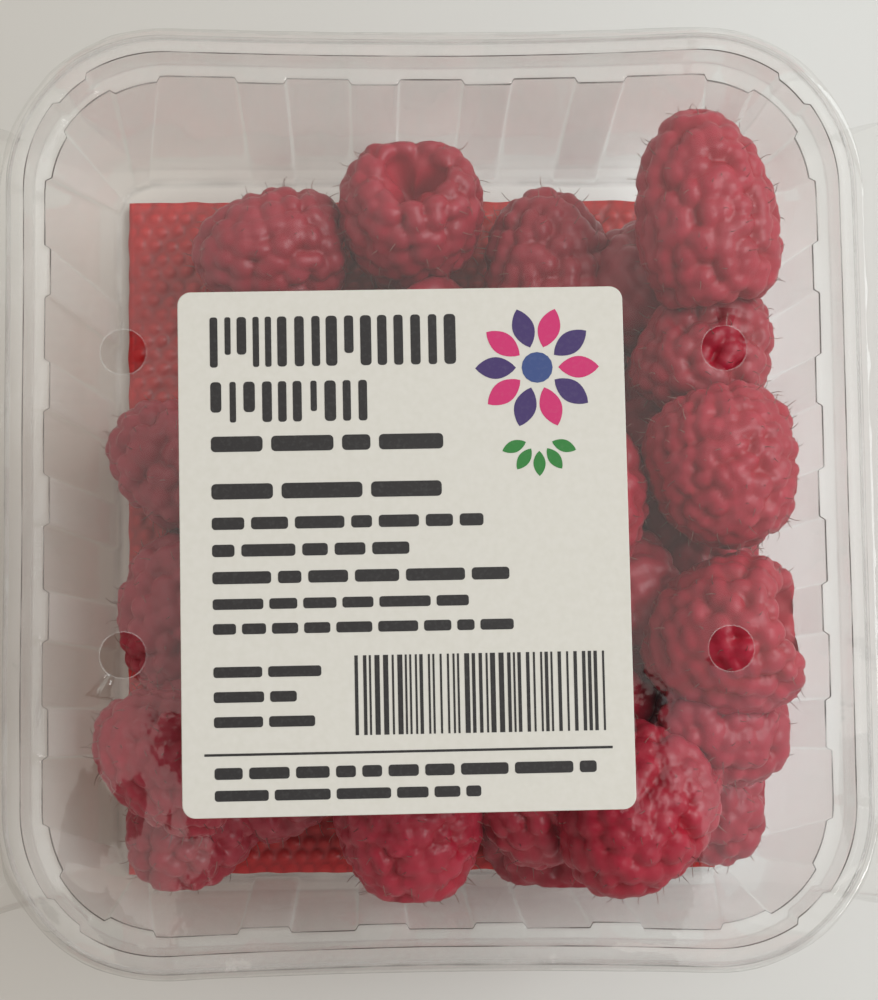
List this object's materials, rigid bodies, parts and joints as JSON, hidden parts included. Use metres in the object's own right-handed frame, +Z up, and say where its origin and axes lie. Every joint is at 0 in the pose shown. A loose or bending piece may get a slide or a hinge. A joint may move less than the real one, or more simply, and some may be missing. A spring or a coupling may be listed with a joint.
{
  "type": "punnet of raspberries",
  "caption": "Ribbed clear tray of raspberries on a red pad, in a clear vented wrapper with crimped ends and a paper label on top.",
  "frame": {"origin": "centre of the wrapper's footprint, on the surface that the punnet stands on", "axes": "+Z up, +X along the wrapper towards an end seal, +Y across it, away from the viewer of the label"},
  "size_m": [0.162, 0.1184, 0.0466],
  "materials": {
    "clear_plastic": "clear thermoformed sheet, glossy",
    "red_pad": "red bubbled plastic over paper, satin",
    "raspberry": "fresh fruit, soft sheen with fine hairs",
    "clear_film": "clear wrapping film, glossy, lightly creased",
    "label_paper": null
  },
  "bodies": {
    "root": {"tray": "clear_plastic", "absorbent_pad": "red_pad", "raspberries": "raspberry", "film": "clear_film", "label": "label_paper"}
  },
  "joints": []
}
